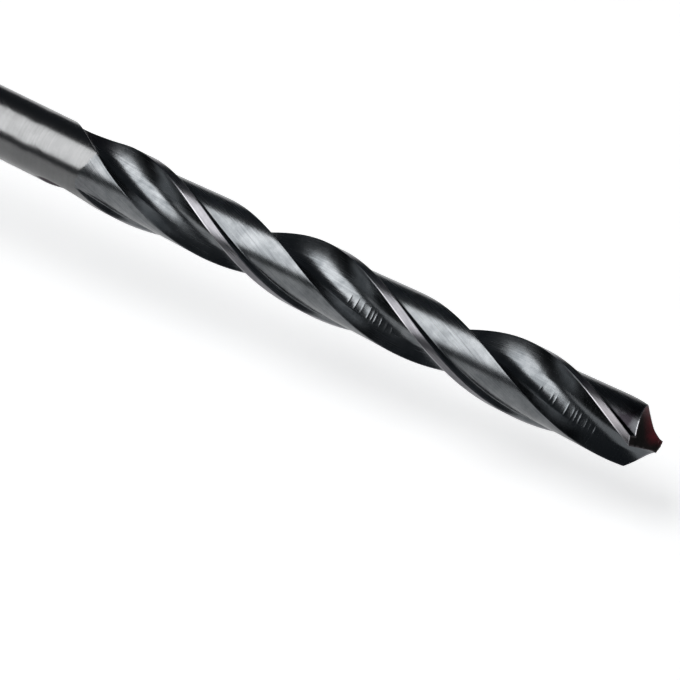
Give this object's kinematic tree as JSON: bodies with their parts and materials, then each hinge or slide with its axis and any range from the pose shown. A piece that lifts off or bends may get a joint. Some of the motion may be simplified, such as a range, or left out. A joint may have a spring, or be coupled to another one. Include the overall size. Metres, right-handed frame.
{
  "type": "twist drill bit",
  "caption": "Straight-shank twist drill bit with helical flutes, raised margins and a ground point for drilling metal, wood and plastics.",
  "frame": {"origin": "centre of the flat end of the shank", "axes": "+Z along the drill's axis from the shank end to the point; the two lips run along X"},
  "size_m": [0.008, 0.008, 0.117],
  "materials": {
    "black_oxide_steel": "black oxide on ground high-speed steel, semi-gloss"
  },
  "bodies": {
    "root": {"drill_bit": "black_oxide_steel"}
  },
  "joints": []
}
